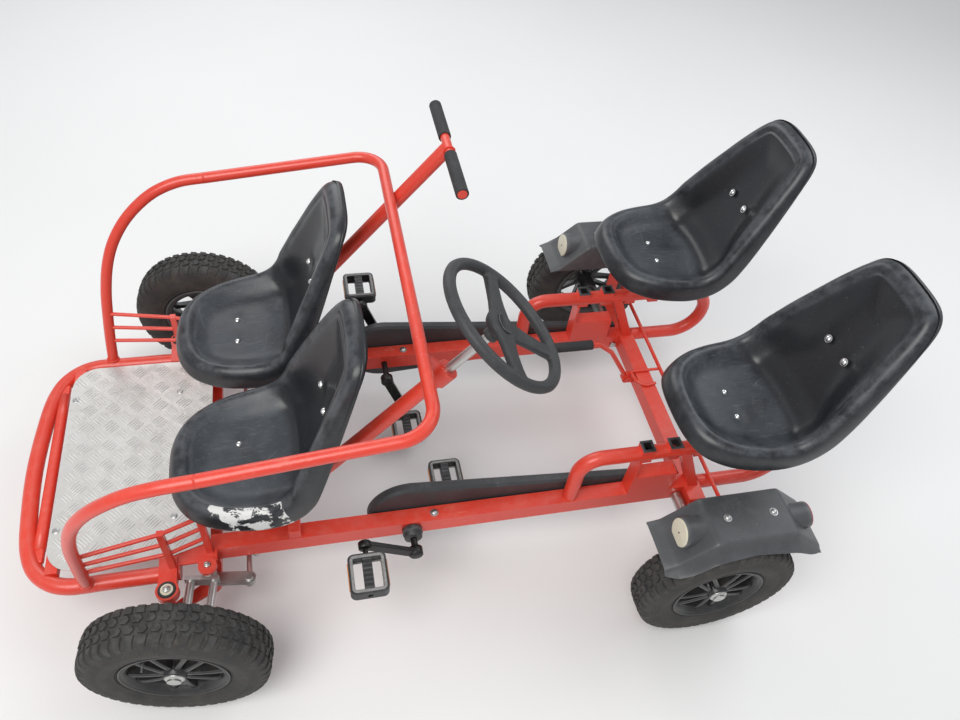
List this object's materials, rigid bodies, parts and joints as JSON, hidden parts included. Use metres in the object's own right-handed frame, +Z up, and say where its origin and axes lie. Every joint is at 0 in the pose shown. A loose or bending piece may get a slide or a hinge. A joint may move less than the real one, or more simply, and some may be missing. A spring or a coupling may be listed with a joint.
{
  "type": "four-seat pedal go-kart",
  "caption": "Pedal go-kart with bucket seats in front and behind, a tube frame with a guard rail, a front foot platform, pneumatic wheels, a steering wheel and pedal cranks.",
  "frame": {"origin": "on the ground under the middle of the whole kart's outer box, front wheels turned slightly right", "axes": "+X forward, toward the foot platform; +Y to the rider's left; +Z up"},
  "size_m": [1.9815, 1.2002, 0.9772],
  "materials": {
    "red_paint": "gloss red enamel, scratched",
    "black_plastic": "moulded black plastic, scuffed and faded",
    "black_rubber": "dull black rubber",
    "black_foam": "black padded skin",
    "tyre_rubber": "worn dusty tread",
    "rim_black": "black moulded rim",
    "zinc_steel": "zinc plated, dulled",
    "tread_aluminium": "five-bar tread pattern, dusty",
    "cream_lens": "cream lens",
    "red_lens": "red lens",
    "crank_black": "black enamel",
    "pedal_black": "black plastic pedal"
  },
  "bodies": {
    "frame": {"rail_left": "red_paint", "rail_right": "red_paint", "rear_beam": "red_paint", "platform_frame": "red_paint", "tread_plate": "tread_aluminium", "guard_rail": "red_paint", "side_fence_left": "red_paint", "side_fence_right": "red_paint", "steering_tube": "red_paint", "handle_post": "red_paint", "hand_grips": "black_rubber", "seat_hoop_left": "red_paint", "seat_hoop_right": "red_paint", "socket_inserts": "black_plastic", "front_axle": "red_paint", "axle_bushes": "black_rubber", "brake_rod": "red_paint", "handbrake": "red_paint", "chain_case_left": "black_plastic", "chain_case_right": "black_plastic", "seat_front_left": "black_plastic", "seat_front_right": "black_plastic", "seat_rear_left": "black_plastic", "seat_rear_right": "black_plastic", "seat_brackets_front": "zinc_steel", "seat_brackets_rear": "zinc_steel", "seat_cross_tube": "red_paint", "mudguard_left": "black_plastic", "mudguard_right": "black_plastic", "front_lamps": "cream_lens", "rear_lamps": "red_lens"},
    "steering": {"steering_column": "zinc_steel", "steering_wheel": "black_foam"},
    "tie_rod": {"tie_rod": "zinc_steel"},
    "knuckle_left": {"knuckle_left": "zinc_steel"},
    "knuckle_right": {"knuckle_right": "zinc_steel"},
    "wheel_front_left": {"tyre_front_left": "tyre_rubber", "rim_front_left": "rim_black"},
    "wheel_front_right": {"tyre_front_right": "tyre_rubber", "rim_front_right": "rim_black"},
    "wheel_rear_left": {"tyre_rear_left": "tyre_rubber", "rim_rear_left": "rim_black", "half_axle_left": "zinc_steel"},
    "wheel_rear_right": {"tyre_rear_right": "tyre_rubber", "rim_rear_right": "rim_black", "half_axle_right": "zinc_steel"},
    "crank_left": {"crank_left": "crank_black"},
    "pedal_left_outer": {"pedal_left_outer": "pedal_black"},
    "pedal_left_inner": {"pedal_left_inner": "pedal_black"},
    "crank_right": {"crank_right": "crank_black"},
    "pedal_right_outer": {"pedal_right_outer": "pedal_black"},
    "pedal_right_inner": {"pedal_right_inner": "pedal_black"}
  },
  "joints": [
    {"name": "steering_turn", "type": "hinge", "parent": "frame", "child": "steering", "pos_m": [0.00575, 0.2419, 0.75], "axis": [-0.6428, 0, 0.766], "range_deg": [-32.4, 57.6]},
    {"name": "kingpin_left", "type": "hinge", "parent": "frame", "child": "knuckle_left", "pos_m": [0.55275, 0.3399, 0.2], "axis": [0, 0, 1], "range_deg": [-18.05, 32.05]},
    {"name": "kingpin_right", "type": "hinge", "parent": "frame", "child": "knuckle_right", "pos_m": [0.55275, -0.3301, 0.2], "axis": [0, 0, 1], "range_deg": [-18.05, 32.05]},
    {"name": "tie_rod_end", "type": "hinge", "parent": "knuckle_left", "child": "tie_rod", "pos_m": [0.46739, 0.35038, 0.155], "axis": [0, 0, 1], "range_deg": [-32.05, 18.05]},
    {"name": "wheel_front_left_spin", "type": "hinge", "parent": "knuckle_left", "child": "wheel_front_left", "pos_m": [0.61646, 0.53056, 0.2], "axis": [0.1219, 0.9925, 0], "continuous": true},
    {"name": "wheel_front_right_spin", "type": "hinge", "parent": "knuckle_right", "child": "wheel_front_right", "pos_m": [0.56844, -0.53051, 0.2], "axis": [0.1219, 0.9925, 0], "continuous": true},
    {"name": "wheel_rear_left_spin", "type": "hinge", "parent": "frame", "child": "wheel_rear_left", "pos_m": [-0.64725, 0.5469, 0.2], "axis": [0, 1, 0], "continuous": true},
    {"name": "wheel_rear_right_spin", "type": "hinge", "parent": "frame", "child": "wheel_rear_right", "pos_m": [-0.64725, -0.5371, 0.2], "axis": [0, 1, 0], "continuous": true},
    {"name": "crank_left_spin", "type": "hinge", "parent": "frame", "child": "crank_left", "pos_m": [0.06975, 0.2789, 0.205], "axis": [0, 1, 0], "continuous": true},
    {"name": "pedal_left_outer_spin", "type": "hinge", "parent": "crank_left", "child": "pedal_left_outer", "pos_m": [0.19404, 0.4409, 0.27968], "axis": [0, 1, 0], "continuous": true},
    {"name": "pedal_left_inner_spin", "type": "hinge", "parent": "crank_left", "child": "pedal_left_inner", "pos_m": [-0.05454, 0.1169, 0.13032], "axis": [0, 1, 0], "continuous": true},
    {"name": "crank_right_spin", "type": "hinge", "parent": "frame", "child": "crank_right", "pos_m": [0.06975, -0.2691, 0.205], "axis": [0, 1, 0], "continuous": true},
    {"name": "pedal_right_outer_spin", "type": "hinge", "parent": "crank_right", "child": "pedal_right_outer", "pos_m": [0.12171, -0.4311, 0.34037], "axis": [0, 1, 0], "continuous": true},
    {"name": "pedal_right_inner_spin", "type": "hinge", "parent": "crank_right", "child": "pedal_right_inner", "pos_m": [0.01779, -0.1071, 0.06963], "axis": [0, 1, 0], "continuous": true}
  ],
  "couplings": [
    {"joint": "kingpin_left", "follows": "steering_turn", "ratio": 0.55556},
    {"joint": "kingpin_right", "follows": "steering_turn", "ratio": 0.55556},
    {"joint": "tie_rod_end", "follows": "steering_turn", "ratio": -0.55556}
  ]
}
